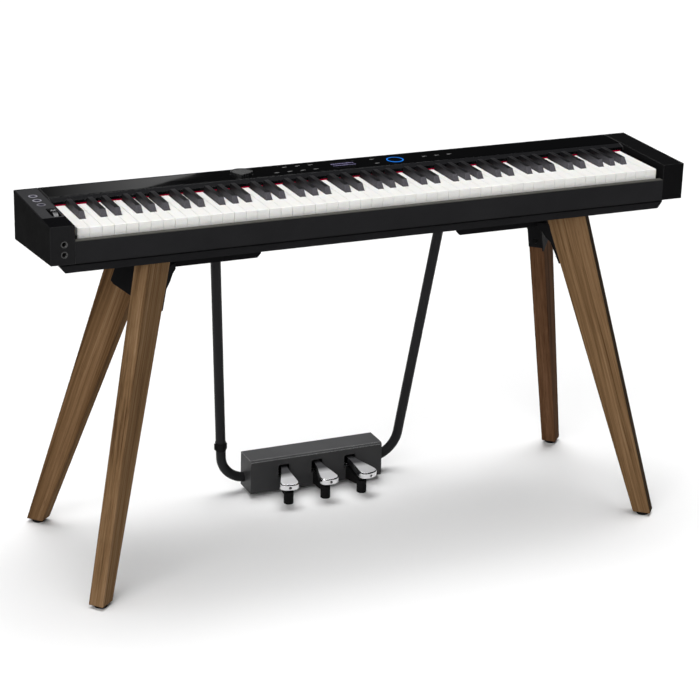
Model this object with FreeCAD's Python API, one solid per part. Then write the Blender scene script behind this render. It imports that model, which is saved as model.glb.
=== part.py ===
import FreeCAD, Part
import math
import os

from FreeCAD import Vector

# Digital piano on a four-legged stand, millimetres, Z up, front towards -Y.
# Every shape is drawn with Y = 0 at the middle of the piano body.  The whole
# set is moved back by FOOTPRINT_MID_Y at export, so that the origin of the
# finished files is the middle of the bounding box on the floor.
FOOTPRINT_MID_Y = 34.2

# ---- piano body ----
BODY_HALF = 670.0          # half of the overall width
BODY_FRONT = -121.0
BODY_REAR = 121.0
TOP_FRONT_Z = 751.5        # top of the end blocks at the front
TOP_REAR_Z = 755.0         # top of the end blocks at the rear
SIDE_FRONT_Z = 677.5       # underside of the end blocks at the front
SIDE_REAR_Z = 656.5        # underside of the end blocks at the rear
BLOCK_INNER = 622.5        # inner face of the end blocks
GAP = 0.3                  # clearance between neighbouring case parts

RAIL_TOP_Z = 721.0         # front rail, just under the white key fronts
RAIL_REAR = -108.3
CASE_BOTTOM = 650.5
CASE_SHOULDER_Z = 666.5
CASE_TOP_Z = 677.2
CASE_FRONT = -91.0
CASE_REAR = 117.0
CASE_HALF_LOW = 633.5
CASE_HALF_HIGH = 645.5
CASE_WALL = 3.5

PANEL_FRONT = 55.0         # front edge of the flat top panel
PANEL_BEVEL = 1.2
FASCIA_KNEE_Y = 41.0       # where the sloping lip turns down to the keys
FASCIA_KNEE_Z = 748.2
PANEL_THICK = 2.6
PANEL_REAR = 117.0

# ---- keyboard ----
WHITE_COUNT = 52
KEY_HALF = 613.5           # half of the keyboard width
KEY_TOP = 740.3
KEY_UNDER = 724.0
KEY_FRONT = -106.7
KEY_SKIRT_Z = 716.0
KEY_REAR = 112.5
KEY_NOTCH_Y = -55.0        # where the white keys become narrow
KEY_GAP = 0.7              # seam between two white keys
TAIL_GAP = 0.7             # seam beside the narrow part of a white key
BLACK_SIDE = 0.6           # space on each side of a black key
BLACK_FRONT = -53.5
BLACK_TOP_FRONT = -45.0
BLACK_CROWN_REAR = 37.4
BLACK_TOP = 753.4
BLACK_TAPER = 1.3
PIVOT_Y = 108.0
PIVOT_Z = 728.0
ROD_R = 2.0
BORE_R = 2.35
FELT_FRONT = 38.4
FELT_REAR = 45.0
FELT_LOW = 740.8
FELT_TOP = 742.6

# ---- controls ----
KNOB_X = -218.5
KNOB_Y = 87.5
KNOB_R = 21.8
KNOB_TOP = 760.2
KNOB_STEM_LOW = 748.5      # stays clear of the moving keys
RING_X = 113.5
RING_Y = 85.0
RING_R = 17.8
DISPLAY_X = 2.5
DISPLAY_Y = 86.0
DISPLAY_W = 57.0
DISPLAY_D = 32.0
BUTTON_X = -646.0
BUTTON_YS = (71.0, 43.0, 15.0)
BUTTON_R = 5.4
BUTTON_RING_R = 8.8
WHEEL_X = -637.0
WHEEL_Y = -36.0
WHEEL_Z = 728.0
WHEEL_R = 29.0
WHEEL_W = 11.0
JACK_X = -643.0
JACK_ZS = (716.0, 696.5)
SOCKET_Z = 676.0           # middle of the sockets in the back
SPEAKER_X = 420.0
SPEAKER_Z = 676.5
SPEAKER_HALF = 62.0

# ---- stand ----
LEG_TOP = 647.5
GLIDE_H = 8.0
GLIDE_R = 13.0
LEG_THICK = 32.0
LEG_FOOT_HALF = 18.5
PLATE = 3.0                # steel sheet of the brackets
# foot x, foot y, plan angle, outer and inner edge at LEG_TOP seen from the foot
FRONT_LEG = (602.0, -173.5, -40.0, -162.0, -245.5)
REAR_LEG = (605.5, 241.5, 46.5, -193.5, -278.0)
CHANNEL_INNER_X = 213.0
CHANNEL_OUTER_X = 412.0
CHANNEL_FRONT = -8.0
CHANNEL_REAR = 30.0
CHANNEL_LOW = 610.5

# ---- pedals ----
TUBE_R = 10.5
ARM_X_TOP = 255.5
ARM_Y_TOP = 137.8
ARM_Z_TOP = 636.0
ARM_X_LOW = 202.3
ARM_Y_LOW = 232.9
ARM_Z_LOW = 31.5
ARM_FIX_Y = 58.0
CLIP_Z = 128.0
BEND_R = 65.0
TOP_BEND_R = 28.0
BOX_HALF = 153.0
BOX_FRONT = 187.0
BOX_REAR = 247.0
BOX_LOW = 10.0
BOX_TOP = 86.0
BOX_WALL = 2.5
BOX_BEVEL = 4.0
PEDAL_ROOTS = (-77.0, 0.0, 77.0)
PEDAL_FANS = (-12.0, 0.0, 12.0)
PEDAL_PIVOT_Y = 231.0
PEDAL_PIVOT_Z = 58.0
PEDAL_ROD_R = 3.0
PEDAL_SLOPE = 6.0
PEDAL_FEET_X = (-85.0, 0.0, 85.0)
PEDAL_FOOT_Y = 139.0
PEDAL_FOOT_R = 10.5
PEDAL_FOOT_H = 16.0
SPRING_Y = 203.0

PITCHES = (
    "c", "c_sharp", "d", "d_sharp", "e", "f",
    "f_sharp", "g", "g_sharp", "a", "a_sharp", "b",
)
WHITE_PITCHES = (0, 2, 4, 5, 7, 9, 11)


# ---------------------------------------------------------------- helpers
def box(x0, x1, y0, y1, z0, z1):
    return Part.makeBox(x1 - x0, y1 - y0, z1 - z0, Vector(x0, y0, z0))


def rod_x(x0, x1, y, z, radius):
    return Part.makeCylinder(radius, x1 - x0, Vector(x0, y, z), Vector(1, 0, 0))


def rod_y(x, y0, y1, z, radius):
    return Part.makeCylinder(radius, y1 - y0, Vector(x, y0, z), Vector(0, 1, 0))


def rod_z(x, y, z0, z1, radius):
    return Part.makeCylinder(radius, z1 - z0, Vector(x, y, z0), Vector(0, 0, 1))


def prism(points, direction):
    face = Part.Face(Part.makePolygon(points + [points[0]]))
    return face.extrude(direction)


def prism_yz(points, x0, x1):
    corners = [Vector(x0, y, z) for y, z in points]
    return prism(corners, Vector(x1 - x0, 0, 0))


def prism_xz(points, y0, y1):
    corners = [Vector(x, y0, z) for x, z in points]
    return prism(corners, Vector(0, y1 - y0, 0))


def prism_xy(points, z0, z1):
    corners = [Vector(x, y, z0) for x, y in points]
    return prism(corners, Vector(0, 0, z1 - z0))


def mirrored(shape):
    return shape.mirror(Vector(0, 0, 0), Vector(1, 0, 0))


def fused(shapes):
    first = shapes[0]
    if len(shapes) > 1:
        first = first.fuse(shapes[1:])
    return first.removeSplitter()


def cut_all(shape, tools):
    for tool in tools:
        shape = shape.cut(tool)
    return shape


def top_z(y):
    """Height of the sloping top of the piano at a given y."""
    share = (y - BODY_FRONT) / (BODY_REAR - BODY_FRONT)
    return TOP_FRONT_Z + share * (TOP_REAR_Z - TOP_FRONT_Z)


def side_z(y):
    """Height of the sloping underside of an end block at a given y."""
    share = (y - BODY_FRONT) / (BODY_REAR - BODY_FRONT)
    return SIDE_FRONT_Z + share * (SIDE_REAR_Z - SIDE_FRONT_Z)


# ---------------------------------------------------------------- end blocks
def end_block():
    """Right-hand block, a solid moulding with softened outer edges."""
    profile = [
        (BODY_FRONT, side_z(BODY_FRONT)),
        (BODY_REAR, side_z(BODY_REAR)),
        (BODY_REAR, top_z(BODY_REAR)),
        (BODY_FRONT, top_z(BODY_FRONT)),
    ]
    block = prism_yz(profile, BLOCK_INNER, BODY_HALF)
    outer = [e for e in block.Edges if min(v.X for v in e.Vertexes) > BODY_HALF - 0.01]
    block = block.makeFillet(1.6, outer)
    inner_top = [
        e for e in block.Edges
        if max(v.X for v in e.Vertexes) < BLOCK_INNER + 0.01 and min(v.Z for v in e.Vertexes) > 750
    ]
    return block.makeChamfer(0.9, inner_top)


def control_plate_outline(margin):
    half_in = -BLOCK_INNER - 3.0 + margin
    half_out = -BODY_HALF + 3.0 - margin
    return half_out, half_in, -66.0 - margin, 116.0 + margin


def control_plate():
    """Thin textured plate let into the top of the left block."""
    x0, x1, y0, y1 = control_plate_outline(0.0)
    profile = [
        (y0, top_z(y0) - 2.4),
        (y1, top_z(y1) - 2.4),
        (y1, top_z(y1)),
        (y0, top_z(y0)),
    ]
    plate = prism_yz(profile, x0, x1)
    holes = [rod_z(BUTTON_X, y, 730, 770, BUTTON_RING_R) for y in BUTTON_YS]
    holes.append(wheel_slot(730, 770))
    return cut_all(plate, holes)


def wheel_slot(z0, z1):
    half_w = WHEEL_W / 2 + 4.0
    half_l = 26.0
    slot = box(WHEEL_X - half_w, WHEEL_X + half_w, WHEEL_Y - half_l, WHEEL_Y + half_l, z0, z1)
    upright = [e for e in slot.Edges if abs(e.Vertexes[0].Z - e.Vertexes[-1].Z) > 1]
    return slot.makeFillet(6.0, upright)


def left_block():
    x0, x1, y0, y1 = control_plate_outline(GAP)
    pocket = prism_yz(
        [(y0, top_z(y0) - 2.4), (y1, top_z(y1) - 2.4), (y1, 770), (y0, 770)], x0, x1
    )
    wheel_room = rod_x(
        WHEEL_X - WHEEL_W / 2 - 0.7, WHEEL_X + WHEEL_W / 2 + 0.7, WHEEL_Y, WHEEL_Z, WHEEL_R + 1.0
    )
    shaft = rod_x(WHEEL_X - 12, WHEEL_X + 12, WHEEL_Y, WHEEL_Z, 3.3)
    tools = [pocket, wheel_room, shaft, wheel_slot(744, 770)]
    for y in BUTTON_YS:
        tools.append(rod_z(BUTTON_X, y, top_z(y) - 8.0, 770, BUTTON_RING_R))
    for z in JACK_ZS:
        tools.append(rod_y(JACK_X, BODY_FRONT - 1, BODY_FRONT + 24, z, 6.5))
    return cut_all(mirrored(end_block()), tools)


def button_rings():
    rings = []
    for y in BUTTON_YS:
        ring = rod_z(BUTTON_X, y, top_z(y) - 8.0, top_z(y) + 0.3, BUTTON_RING_R)
        hole = rod_z(BUTTON_X, y, top_z(y) - 9.0, top_z(y) + 1.0, BUTTON_R + 0.4)
        rings.append(ring.cut(hole))
    return Part.makeCompound(rings)


def control_button(y):
    cap = rod_z(BUTTON_X, y, top_z(y) - 6.0, top_z(y) + 0.3, BUTTON_R)
    dish = Part.makeSphere(18.0, Vector(BUTTON_X, y, top_z(y) + 17.6))
    return cap.cut(dish)


def pitch_wheel():
    wheel = rod_x(WHEEL_X - WHEEL_W / 2, WHEEL_X + WHEEL_W / 2, WHEEL_Y, WHEEL_Z, WHEEL_R)
    wheel = wheel.makeFillet(1.5, [e for e in wheel.Edges if e.Length > 100])
    axle = rod_x(WHEEL_X - 11.5, WHEEL_X + 11.5, WHEEL_Y, WHEEL_Z, 3.0)
    notch = rod_x(WHEEL_X - 10, WHEEL_X + 10, WHEEL_Y, WHEEL_Z + WHEEL_R + 4.0, 6.0)
    return fused([wheel.cut(notch), axle])


def headphone_jacks():
    jacks = []
    for z in JACK_ZS:
        bush = rod_y(JACK_X, BODY_FRONT - 0.2, BODY_FRONT + 23, z, 6.5)
        bore = rod_y(JACK_X, BODY_FRONT - 1, BODY_FRONT + 18, z, 3.2)
        flare = Part.makeCone(
            4.6, 3.2, 1.4, Vector(JACK_X, BODY_FRONT - 0.2, z), Vector(0, 1, 0)
        )
        jacks.append(bush.cut(bore).cut(flare))
    return Part.makeCompound(jacks)


# ---------------------------------------------------------------- case
def front_rail():
    half = BLOCK_INNER - GAP
    profile = [
        (BODY_FRONT, SIDE_FRONT_Z),
        (BODY_FRONT, RAIL_TOP_Z - 1.2),
        (BODY_FRONT + 1.2, RAIL_TOP_Z),
        (RAIL_REAR, RAIL_TOP_Z),
        (RAIL_REAR, SIDE_FRONT_Z + 3.5),
        (CASE_FRONT + 8.0, SIDE_FRONT_Z + 3.5),
        (CASE_FRONT + 8.0, SIDE_FRONT_Z),
    ]
    return prism_yz(profile, -half, half)


def case_cross_section(inset, floor_z, top):
    low = CASE_HALF_LOW - inset
    high = CASE_HALF_HIGH - inset
    return [
        (-low, floor_z),
        (low, floor_z),
        (high, CASE_SHOULDER_Z),
        (high, top),
        (-high, top),
        (-high, CASE_SHOULDER_Z),
    ]


def screw_points():
    """Places where the stand is screwed to the underside of the case."""
    points = []
    for side in (-1, 1):
        for x in (300.0, 385.0):
            for y in (-18.0, 40.0):
                points.append((side * x, y))
        for y in (68.0, 98.0):
            points.append((side * (ARM_X_TOP - 18.0), y))
    return points


def stand_screw(x, y):
    head = rod_z(x, y, LEG_TOP - 9.0, LEG_TOP, 7.0)
    washer = rod_z(x, y, LEG_TOP - 1.2, LEG_TOP, 9.0)
    shank = rod_z(x, y, LEG_TOP - 1.0, CASE_BOTTOM + 12.0, 3.0)
    return fused([head, washer, shank])


def stand_screws():
    return Part.makeCompound([stand_screw(x, y) for x, y in screw_points()])


def block_room(side):
    """The space an end block takes away from the bottom case."""
    profile = [
        (-140, side_z(-140) - GAP),
        (140, side_z(140) - GAP),
        (140, 760),
        (-140, 760),
    ]
    x0 = BLOCK_INNER - GAP
    if side > 0:
        return prism_yz(profile, x0, 700)
    return prism_yz(profile, -700, -x0)


def bottom_case():
    outer = prism_xz(
        case_cross_section(0.0, CASE_BOTTOM, CASE_TOP_Z), CASE_FRONT, CASE_REAR
    )
    inner = box(
        -BLOCK_INNER + 6, BLOCK_INNER - 6, CASE_FRONT + CASE_WALL, CASE_REAR + 1,
        CASE_BOTTOM + CASE_WALL, CASE_TOP_Z + 1,
    )
    groove = box(
        -CASE_HALF_HIGH - 1, CASE_HALF_HIGH + 1, CASE_FRONT - 1, CASE_FRONT + 2.2, 664.4, 668.0
    )
    shell = cut_all(outer, [block_room(1), block_room(-1), inner, groove])
    bosses = [
        rod_z(x, y, CASE_BOTTOM + 1, CASE_BOTTOM + 14, 7.0) for x, y in screw_points()
    ]
    ribs = []
    for x in (-500, -160, 160, 500):
        ribs.append(box(x, x + 3, CASE_FRONT + 2, CASE_REAR, CASE_BOTTOM + 2, CASE_BOTTOM + 16))
    shell = fused([shell] + bosses + ribs)
    shanks = [stand_screw(x, y) for x, y in screw_points()]
    return cut_all(shell, shanks)


def rear_cover():
    """Back panel with a socket row and two slotted speaker grilles."""
    half = BLOCK_INNER - GAP
    panel = box(-half, half, CASE_REAR, BODY_REAR, CASE_BOTTOM, top_z(BODY_REAR))
    tools = []
    for side in (-1, 1):
        for i in range(17):
            x = side * SPEAKER_X + (i - 8) * 6.6
            tools.append(
                box(x - 1.6, x + 1.6, CASE_REAR - 1, BODY_REAR + 1, SPEAKER_Z - 16, SPEAKER_Z + 16)
            )
    for x, width, height in socket_list():
        tools.append(socket_block(x, width, height, CASE_REAR - 1, BODY_REAR + 1))
    return cut_all(panel, tools)


def socket_block(x, width, height, y0, y1):
    return box(
        x - width / 2, x + width / 2, y0, y1, SOCKET_Z - height / 2, SOCKET_Z + height / 2
    )


def socket_list():
    """Centre x, width and height of every socket on the back."""
    return (
        (-96.0, 14.0, 12.0),
        (-62.0, 12.0, 12.0),
        (-34.0, 12.0, 12.0),
        (0.0, 13.5, 6.0),
        (28.0, 12.0, 11.0),
        (62.0, 20.0, 12.0),
        (98.0, 12.0, 12.0),
    )


def rear_sockets():
    sockets = []
    for x, width, height in socket_list():
        body = socket_block(x, width, height, CASE_REAR - 14, BODY_REAR - 0.4)
        bore = socket_block(x, width - 4, height - 3, CASE_REAR - 8, BODY_REAR + 1)
        sockets.append(body.cut(bore))
    return Part.makeCompound(sockets)


# ---------------------------------------------------------------- top panel
def slope_plate(x0, x1, y0, y1, drop_top, drop_low):
    profile = [
        (y0, top_z(y0) - drop_low),
        (y1, top_z(y1) - drop_low),
        (y1, top_z(y1) - drop_top),
        (y0, top_z(y0) - drop_top),
    ]
    return prism_yz(profile, x0, x1)


def display_plate(margin, drop_top, drop_low):
    return slope_plate(
        DISPLAY_X - DISPLAY_W / 2 - margin, DISPLAY_X + DISPLAY_W / 2 + margin,
        DISPLAY_Y - DISPLAY_D / 2 - margin, DISPLAY_Y + DISPLAY_D / 2 + margin,
        drop_top, drop_low,
    )


def ring_tube(outer, inner):
    top = top_z(RING_Y)
    body = rod_z(RING_X, RING_Y, top - 2.0, top + 0.25, outer)
    return body.cut(rod_z(RING_X, RING_Y, top - 3.0, top + 1.0, inner))


def panel_section():
    """Flat top with a bevelled front edge, and the lip that slopes down to the felt."""
    edge_z = top_z(PANEL_FRONT)
    return [
        (FELT_FRONT + 0.4, FELT_TOP),
        (FASCIA_KNEE_Y, FASCIA_KNEE_Z),
        (PANEL_FRONT, edge_z - PANEL_BEVEL),
        (PANEL_FRONT + PANEL_BEVEL, edge_z),
        (PANEL_REAR, top_z(PANEL_REAR)),
        (PANEL_REAR, top_z(PANEL_REAR) - PANEL_THICK),
        (PANEL_FRONT + 4.0, edge_z - PANEL_THICK),
        (FASCIA_KNEE_Y + 6.4, FASCIA_KNEE_Z - 2.0),
        (FELT_REAR + 2.4, FELT_LOW),
        (FELT_REAR, FELT_LOW),
        (FELT_REAR, FELT_TOP),
    ]


def top_panel():
    half = BLOCK_INNER - GAP
    plate = prism_yz(panel_section(), -half, half)
    ribs = [box(x, x + 2.5, PANEL_FRONT + 3, PANEL_REAR, 744, 752) for x in (-300, -80, 180, 420)]
    shell = fused([plate] + ribs)
    tools = [
        display_plate(GAP, -1.0, 1.4),
        ring_tube(RING_R + 0.1, RING_R - 2.6),
        rod_z(KNOB_X, KNOB_Y, 740, 770, 4.4),
        rod_z(KNOB_X, KNOB_Y, top_z(KNOB_Y) - 1.2, 770, KNOB_R + 1.2),
    ]
    return cut_all(shell, tools)


def felt_strip():
    return box(-KEY_HALF, KEY_HALF, FELT_FRONT, FELT_REAR, FELT_LOW, FELT_TOP)


def volume_knob():
    body = rod_z(KNOB_X, KNOB_Y, top_z(KNOB_Y) - 0.9, KNOB_TOP, KNOB_R)
    rims = [e for e in body.Edges if e.Length > 100 and e.Vertexes[0].Z > KNOB_TOP - 1]
    body = body.makeChamfer(1.3, rims)
    dish = Part.makeCone(
        KNOB_R - 3.4, KNOB_R - 2.4, 0.8, Vector(KNOB_X, KNOB_Y, KNOB_TOP - 0.7)
    )
    stem = rod_z(KNOB_X, KNOB_Y, KNOB_STEM_LOW, KNOB_TOP - 3, 4.0)
    grips = []
    for i in range(36):
        angle = math.radians(i * 10.0)
        x = KNOB_X + (KNOB_R + 0.15) * math.cos(angle)
        y = KNOB_Y + (KNOB_R + 0.15) * math.sin(angle)
        grips.append(rod_z(x, y, top_z(KNOB_Y) - 2, KNOB_TOP - 1.9, 0.6))
    knob = body.cut(dish).cut(Part.makeCompound(grips))
    return fused([knob, stem])


# ---------------------------------------------------------------- keyboard
def tail_slots():
    """Note, white key number, and the edges of the narrow part of all 88 keys.

    C to E share three white widths in five equal slots, F to B share four
    white widths in seven equal slots.
    """
    pitch = 2 * KEY_HALF / WHITE_COUNT
    slots = []
    white = 0
    for index in range(88):
        note = (index + 9) % 12
        first = 0 if note < 5 else 5
        width = 3 * pitch / 5 if note < 5 else 4 * pitch / 7
        whites_before = sum(1 for other in WHITE_PITCHES if first <= other < note)
        start = -KEY_HALF + (white - whites_before) * pitch + (note - first) * width
        slots.append((note, white, start, start + width))
        if note in WHITE_PITCHES:
            white += 1
    return slots


def white_key(number, left, right):
    pitch = 2 * KEY_HALF / WHITE_COUNT
    x0 = -KEY_HALF + number * pitch + KEY_GAP / 2
    x1 = x0 + pitch - KEY_GAP
    left = x0 if number == 0 else max(x0, left + TAIL_GAP / 2)
    right = x1 if number == WHITE_COUNT - 1 else min(x1, right - TAIL_GAP / 2)
    front = prism_yz(
        [
            (KEY_FRONT, KEY_SKIRT_Z),
            (KEY_FRONT + 3.0, KEY_SKIRT_Z),
            (KEY_FRONT + 5.0, KEY_UNDER),
            (KEY_NOTCH_Y, KEY_UNDER),
            (KEY_NOTCH_Y, KEY_TOP),
            (KEY_FRONT + 0.8, KEY_TOP),
            (KEY_FRONT, KEY_TOP - 0.8),
        ],
        x0, x1,
    )
    tail = box(left, right, KEY_NOTCH_Y - 0.5, KEY_REAR, KEY_UNDER, KEY_TOP)
    return fused([front, tail])


def crown_outline(x0, x1, y0, y1, z):
    corners = [Vector(x0, y0, z), Vector(x1, y0, z), Vector(x1, y1, z), Vector(x0, y1, z)]
    return Part.makePolygon(corners + [corners[0]])


def black_key(left, right):
    x0 = left + BLACK_SIDE
    x1 = right - BLACK_SIDE
    body = box(x0, x1, BLACK_FRONT, KEY_REAR, KEY_UNDER, KEY_TOP)
    foot = crown_outline(x0, x1, BLACK_FRONT, BLACK_CROWN_REAR, KEY_TOP - 0.5)
    edge = crown_outline(
        x0 + BLACK_TAPER, x1 - BLACK_TAPER, BLACK_TOP_FRONT, BLACK_CROWN_REAR - 0.3, BLACK_TOP
    )
    crown = Part.makeLoft([foot, edge], True, True)
    top_edges = [
        e for e in crown.Edges
        if min(v.Z for v in e.Vertexes) > BLACK_TOP - 0.01
        or (max(v.Z for v in e.Vertexes) > BLACK_TOP - 0.01 and e.CenterOfMass.y < 0)
    ]
    crown = crown.makeFillet(0.7, top_edges)
    return fused([body, crown])


def key_groups():
    """All keys of one pitch name form one group of separate keys."""
    groups = {name: [] for name in PITCHES}
    for note, white, left, right in tail_slots():
        if note in WHITE_PITCHES:
            key = white_key(white, left, right)
        else:
            key = black_key(left, right)
        bore = rod_x(left - 12, right + 12, PIVOT_Y, PIVOT_Z, BORE_R)
        groups[PITCHES[note]].append(key.cut(bore))
    return groups


def key_rod():
    return rod_x(-KEY_HALF - 4.5, KEY_HALF + 4.5, PIVOT_Y, PIVOT_Z, ROD_R)


def key_frame():
    """Pressed tray below the keys with end plates that carry the pivot rod."""
    floor = box(-KEY_HALF - 5, KEY_HALF + 5, -84, 114, 699, 701.5)
    lip = box(-KEY_HALF - 5, KEY_HALF + 5, -84, -81.5, 699, 706)
    parts = [floor, lip]
    for x in (-KEY_HALF - 5, KEY_HALF + 2.5):
        parts.append(box(x, x + 2.5, 90, 114, 700, 736))
    for x in (-560, -280, 0, 280, 560):
        parts.append(box(x - 1.5, x + 1.5, -80, 98, CASE_BOTTOM + CASE_WALL, 700))
    frame = fused(parts)
    return frame.cut(key_rod())


def main_board():
    """Circuit board on four posts, between the ribs of the key frame."""
    board = box(14, 226, 56, 100, 684, 685.6)
    chips = []
    for x, y, size in ((24, 66, 14), (58, 68, 24), (108, 62, 14), (140, 70, 20), (186, 64, 12)):
        chips.append(box(x, x + size, y, y + size * 0.8, 685.5, 688.5))
    posts = []
    for x in (22, 216):
        for y in (62, 94):
            posts.append(rod_z(x, y, CASE_BOTTOM + CASE_WALL, 684.5, 3.0))
    return fused([board] + chips + posts)


def speakers():
    """Two oval speakers that fire through the slots in the back."""
    found = []
    for side in (-1, 1):
        x = side * SPEAKER_X
        frame = box(
            x - SPEAKER_HALF, x + SPEAKER_HALF, 111, CASE_REAR, SPEAKER_Z - 20.5, SPEAKER_Z + 20.5
        )
        motor = rod_y(x, 82, 111.5, SPEAKER_Z, 17.0)
        cone = Part.makeCone(
            8, 18, 4.6, Vector(x, CASE_REAR - 4.5, SPEAKER_Z), Vector(0, 1, 0)
        )
        found.append(fused([frame, motor]).cut(cone))
    return Part.makeCompound(found)


# ---------------------------------------------------------------- legs
def edge_s(leg, which, z):
    """Position of the outer (+1) or inner (-1) edge of a leg at height z."""
    low = which * LEG_FOOT_HALF
    high = leg[3] if which > 0 else leg[4]
    return low + (high - low) * (z - GLIDE_H) / (LEG_TOP - GLIDE_H)


def placed(shape, leg):
    shape.rotate(Vector(0, 0, 0), Vector(0, 0, 1), leg[2])
    shape.translate(Vector(leg[0], leg[1], 0))
    return shape


def leg_board(leg):
    half = LEG_THICK / 2
    outline = [
        (edge_s(leg, -1, GLIDE_H), GLIDE_H),
        (edge_s(leg, 1, GLIDE_H), GLIDE_H),
        (edge_s(leg, 1, LEG_TOP), LEG_TOP),
        (edge_s(leg, -1, LEG_TOP), LEG_TOP),
    ]
    board = prism_xz(outline, -half, half)
    long_edges = [e for e in board.Edges if e.Length > 400]
    board = board.makeFillet(2.0, long_edges)
    return board


def bolt_heights():
    return (553.0, 604.0)


def leg_bolt(leg, z):
    """Bolt through the edge flange into the leg, head on the inner side."""
    face = edge_s(leg, -1, z) - PLATE
    tilt = (leg[4] + LEG_FOOT_HALF) / (LEG_TOP - GLIDE_H)
    inward = Vector(1.0, 0, tilt)
    inward.normalize()
    start = Vector(face, 0, z)
    shank = Part.makeCylinder(3.0, 38.0, start, inward)
    head = Part.makeCylinder(5.5, 4.0, start - inward * 4.0, inward)
    return fused([shank, head])


def wing_window(leg, w0):
    """Opening with a sloping sill in the upper part of a bracket wing."""
    s1 = edge_s(leg, 1, CHANNEL_LOW) - 40.0
    s2 = edge_s(leg, -1, CHANNEL_LOW)
    outline = [
        (s1, CHANNEL_LOW + 1), (s2, CHANNEL_LOW - 15), (s2, LEG_TOP - 8), (s1, LEG_TOP - 8),
    ]
    return prism_xz(outline, w0 - 1, w0 + PLATE + 1)


def gusset(leg, inside):
    """Curved web between the edge flange of a leg and the channel."""
    w0 = -LEG_THICK / 2 if inside > 0 else LEG_THICK / 2 - PLATE
    face = edge_s(leg, -1, CHANNEL_LOW) - PLATE + 0.5
    outline = [
        (face, CHANNEL_LOW + 12),
        (face - 24, CHANNEL_LOW + 12),
        (face - 24, CHANNEL_LOW),
        (face - 13, CHANNEL_LOW - 7),
        (face - 5, CHANNEL_LOW - 18),
        (edge_s(leg, -1, CHANNEL_LOW - 32) - PLATE + 0.5, CHANNEL_LOW - 32),
    ]
    return prism_xz(outline, w0, w0 + PLATE)


def bracket_wing(leg, inside, fold, low):
    """Plate on the inner side of one leg, plus the flange on its narrow edge."""
    half = LEG_THICK / 2
    w0 = half if inside > 0 else -half - PLATE
    slope = (leg[3] + leg[4]) / 2 / (LEG_TOP - GLIDE_H)
    outer = edge_s(leg, 1, low) - 26.0
    inner = edge_s(leg, -1, low) - 12.0
    drop = (outer - inner) * -slope
    outline = [
        (edge_s(leg, 1, LEG_TOP) - 26.0, LEG_TOP),
        (outer, low + 7.0),
        (outer - 6.0, low),
        (inner - drop * slope, low - drop),
        (edge_s(leg, -1, CHANNEL_LOW) - 20.0, CHANNEL_LOW),
        (fold, CHANNEL_LOW + 6.0),
        (fold, LEG_TOP),
    ]
    wing = prism_xz(outline, w0, w0 + PLATE).cut(wing_window(leg, w0))
    foot = low - drop + 4.0
    flange = prism_xz(
        [
            (edge_s(leg, -1, foot), foot),
            (edge_s(leg, -1, foot) - PLATE, foot),
            (edge_s(leg, -1, LEG_TOP) - PLATE, LEG_TOP),
            (edge_s(leg, -1, LEG_TOP), LEG_TOP),
        ],
        min(w0, -half), max(w0 + PLATE, half),
    )
    cap = box(fold, edge_s(leg, 1, LEG_TOP) - 4.0, min(w0, -half), max(w0 + PLATE, half),
              LEG_TOP, LEG_TOP + PLATE)
    return placed(fused([wing, flange, cap, gusset(leg, inside)]), leg)


def channel():
    """Inverted U rail that joins the two legs of one side to the case."""
    x0 = CHANNEL_INNER_X
    x1 = CHANNEL_OUTER_X
    outer = box(x0, x1, CHANNEL_FRONT, CHANNEL_REAR, CHANNEL_LOW, LEG_TOP + PLATE)
    room = box(x0 - 1, x1 - PLATE, CHANNEL_FRONT + PLATE, CHANNEL_REAR - PLATE,
               CHANNEL_LOW - 1, LEG_TOP)
    nose = prism_xz(
        [(x0 - 1, CHANNEL_LOW - 1), (x0 + 9, CHANNEL_LOW - 1), (x0 - 1, CHANNEL_LOW + 9)],
        CHANNEL_FRONT - 1, CHANNEL_REAR + 1,
    )
    flange = box(x0, x1 + 16, CHANNEL_FRONT - 20, CHANNEL_REAR + 20, LEG_TOP, LEG_TOP + PLATE)
    return fused([cut_all(outer, [room, nose]), flange])


def right_bracket():
    front = bracket_wing(FRONT_LEG, 1, FRONT_LEG[4] - 24.0, 556.0)
    rear = bracket_wing(REAR_LEG, -1, REAR_LEG[4] - 30.0, 556.0)
    boards = [placed(leg_board(FRONT_LEG), FRONT_LEG), placed(leg_board(REAR_LEG), REAR_LEG)]
    body = fused([channel(), front, rear])
    body = cut_all(body, boards)
    for x, y in screw_points():
        if x > 0 and y < 60:
            body = body.cut(stand_screw(x, y))
    return cut_all(body, right_bolts())


def right_bolts():
    bolts = []
    for leg in (FRONT_LEG, REAR_LEG):
        for z in bolt_heights():
            bolts.append(placed(leg_bolt(leg, z), leg))
    return bolts


def right_leg(leg):
    board = placed(leg_board(leg), leg)
    pin = rod_z(leg[0], leg[1], 0, GLIDE_H + 14.0, 3.0)
    return cut_all(board, right_bolts() + [pin])


def glide(leg):
    disc = rod_z(leg[0], leg[1], 0, GLIDE_H, GLIDE_R)
    disc = disc.makeFillet(1.5, [e for e in disc.Edges if e.Length > 60 and e.Vertexes[0].Z < 1])
    pin = rod_z(leg[0], leg[1], GLIDE_H - 1, GLIDE_H + 14.0, 3.0)
    return fused([disc, pin])


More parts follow.
